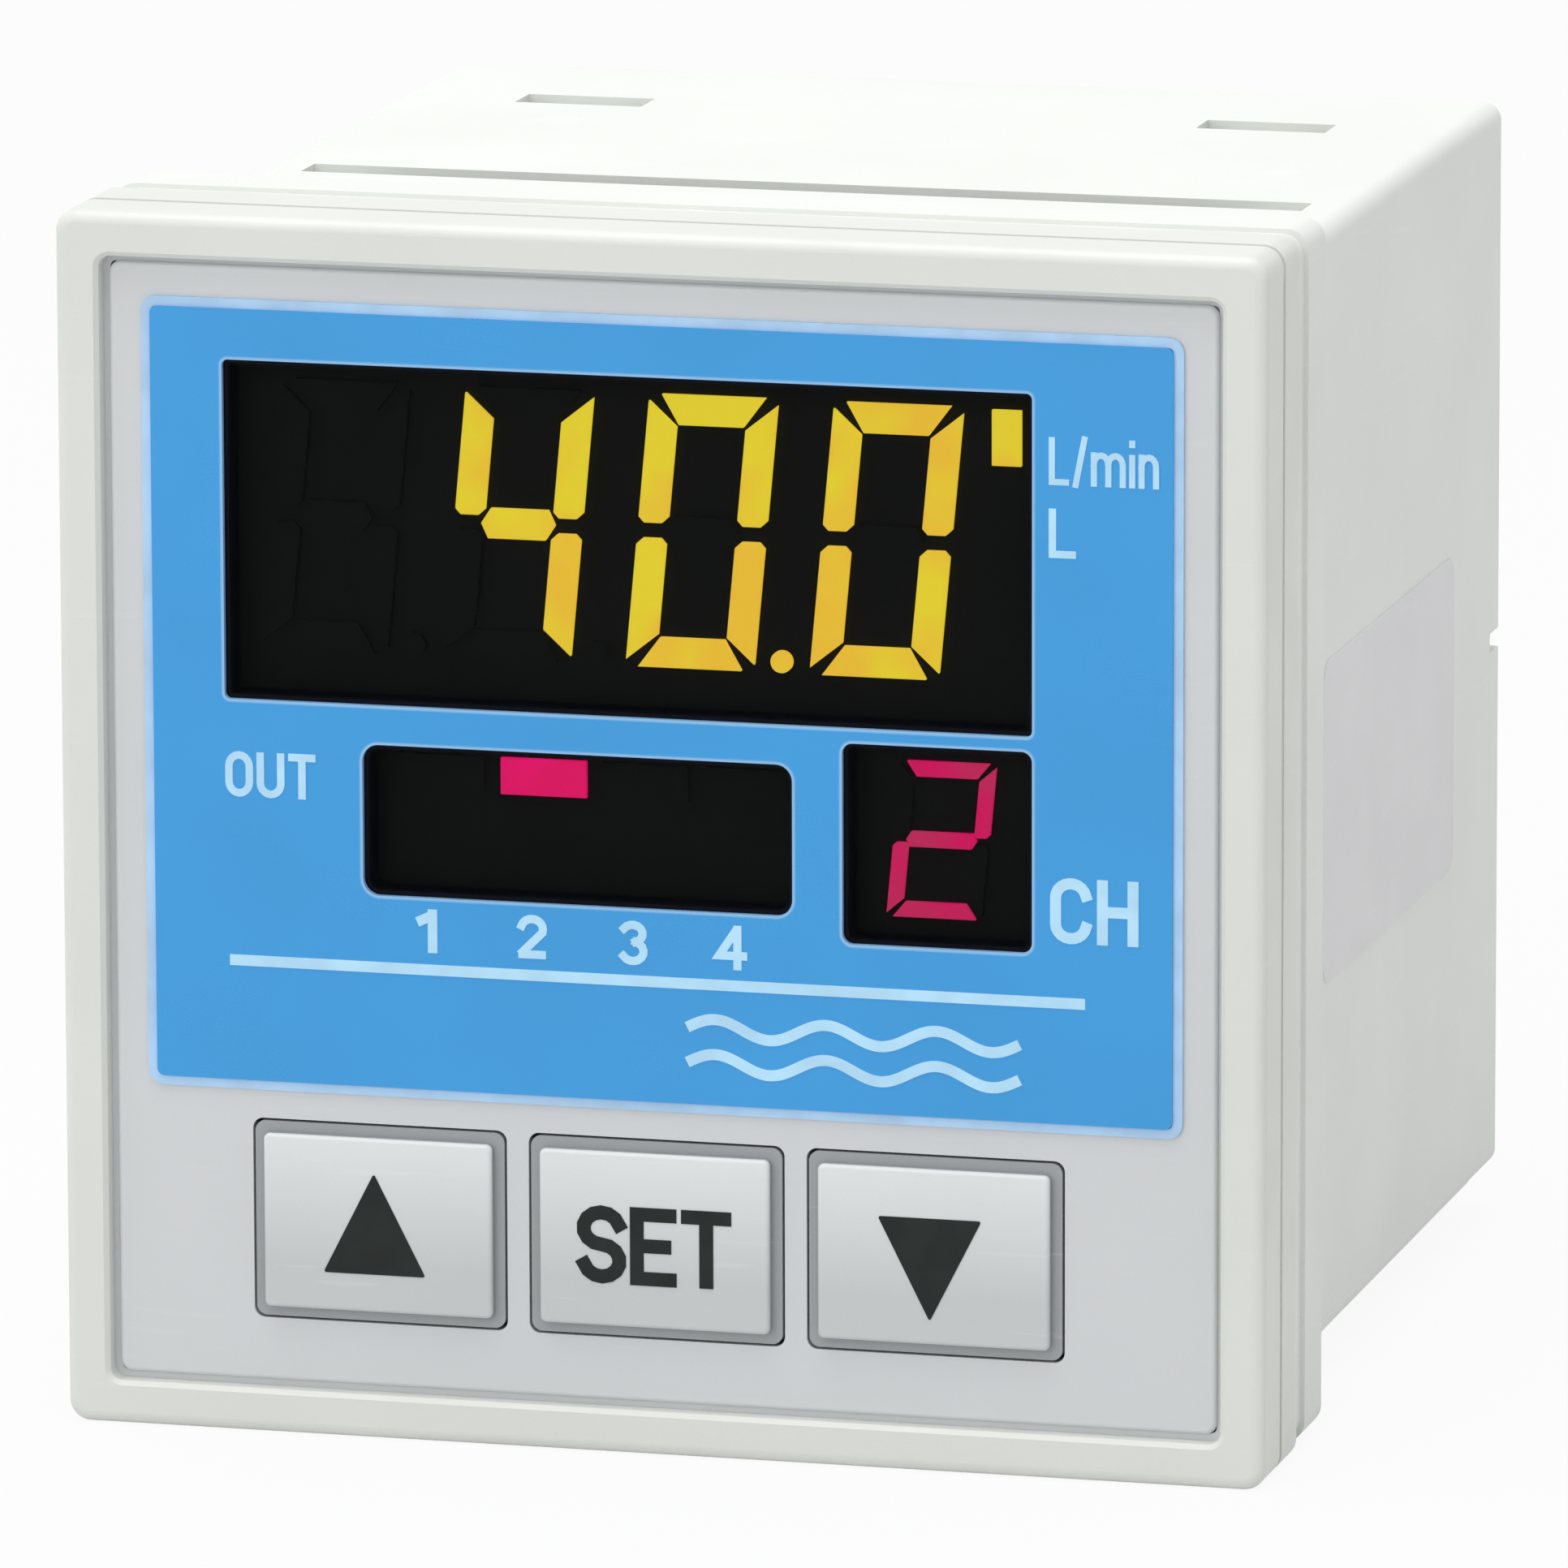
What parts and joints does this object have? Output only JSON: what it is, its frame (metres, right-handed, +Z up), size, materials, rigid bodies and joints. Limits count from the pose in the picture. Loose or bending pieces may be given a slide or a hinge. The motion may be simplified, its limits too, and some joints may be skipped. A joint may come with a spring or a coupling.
{
  "type": "digital flow switch",
  "caption": "Panel-mounted digital flow switch: square front with a blue-faced display above push keys, box housing with sensor and power sockets at the rear.",
  "frame": {"origin": "middle of the base of the overall box, under the centre of the part", "axes": "+Z up, +Y into the panel (the display faces -Y), +X to the right of someone who reads the display"},
  "size_m": [0.04, 0.042, 0.04],
  "materials": {
    "frame_plastic": "fine satin moulding, warm off-white",
    "case_plastic": "fine satin moulding, off-white",
    "panel_plastic": "satin light grey",
    "key_plastic": "satin light grey",
    "printed_sheet": "blue printed film",
    "smoked_window": "dark, polished",
    "module_black": "black",
    "segment_yellow": "lit",
    "segment_red": "lit",
    "segment_dark": "unlit",
    "board_green": "green solder resist",
    "chip_black": "moulded epoxy",
    "switch_black": "black",
    "plunger_black": "black",
    "can_aluminium": "drawn can",
    "socket_white": "natural nylon",
    "socket_ivory": "natural nylon",
    "pin_metal": "tinned"
  },
  "bodies": {
    "case": {"front_frame": "frame_plastic", "housing": "case_plastic", "rear_cover": "case_plastic", "front_panel": "panel_plastic", "face_sheet": "printed_sheet", "display_window": "smoked_window", "display_module": "module_black", "main_digits_lit": "segment_yellow", "output_bar_lit": "segment_red", "channel_digit_lit": "segment_red", "main_digits_dark": "segment_dark", "output_bars_dark": "segment_dark", "channel_digit_dark": "segment_dark", "display_board": "board_green", "main_board": "board_green", "connector_board": "board_green", "display_driver": "chip_black", "controller_chip": "chip_black", "supply_regulator": "chip_black", "key_switches": "switch_black", "front_link_block": "switch_black", "rear_link_block": "switch_black", "supply_capacitors": "can_aluminium", "sensor_socket_1": "socket_white", "sensor_socket_2": "socket_white", "sensor_socket_3": "socket_white", "sensor_socket_4": "socket_white", "power_socket": "socket_ivory", "sensor_socket_pins": "pin_metal", "power_socket_pins": "pin_metal", "front_link_pins": "pin_metal", "rear_link_pins": "pin_metal"},
    "up_key_body": {"up_key": "key_plastic", "up_plunger": "plunger_black"},
    "set_key_body": {"set_key": "key_plastic", "set_plunger": "plunger_black"},
    "down_key_body": {"down_key": "key_plastic", "down_plunger": "plunger_black"}
  },
  "joints": [
    {"name": "up_key_press", "type": "slide", "parent": "case", "child": "up_key_body", "axis": [0, 1, 0], "range_m": [0, 0.0003], "stiffness_N_per_m": 4000},
    {"name": "set_key_press", "type": "slide", "parent": "case", "child": "set_key_body", "axis": [0, 1, 0], "range_m": [0, 0.0003], "stiffness_N_per_m": 4000},
    {"name": "down_key_press", "type": "slide", "parent": "case", "child": "down_key_body", "axis": [0, 1, 0], "range_m": [0, 0.0003], "stiffness_N_per_m": 4000}
  ]
}
